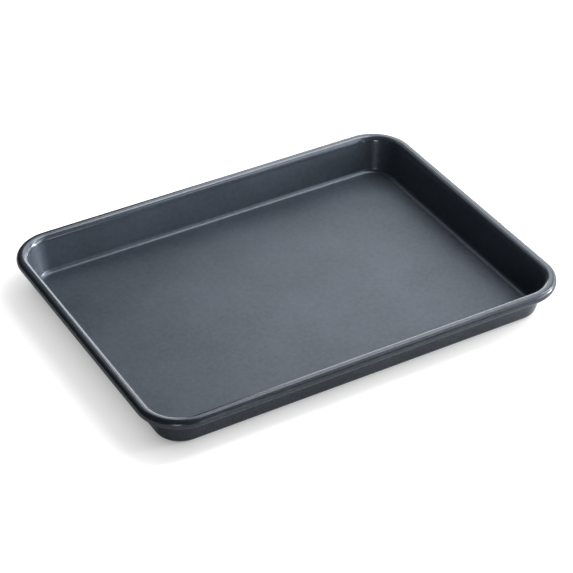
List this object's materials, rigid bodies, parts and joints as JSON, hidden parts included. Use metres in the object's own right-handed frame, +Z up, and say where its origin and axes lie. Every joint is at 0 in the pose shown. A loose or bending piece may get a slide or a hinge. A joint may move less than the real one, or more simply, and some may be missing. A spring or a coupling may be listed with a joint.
{
  "type": "jelly roll pan",
  "caption": "Shallow rectangular baking tray with flared walls, rounded corners and a thick rolled rim stiffened by a wire, with a dark non-stick finish.",
  "frame": {"origin": "centre of the flat underside, at the height of the surface that the pan stands on", "axes": "+X along the long sides, +Y along the short sides, +Z up, out of the open top"},
  "size_m": [0.35, 0.264, 0.0305],
  "materials": {
    "nonstick_coating": "dark blue-grey satin non-stick coating on steel, fine grain, soft sheen",
    "wire_steel": "plain drawn steel wire"
  },
  "bodies": {
    "root": {"pan_shell": "nonstick_coating", "rim_wire": "wire_steel"}
  },
  "joints": []
}
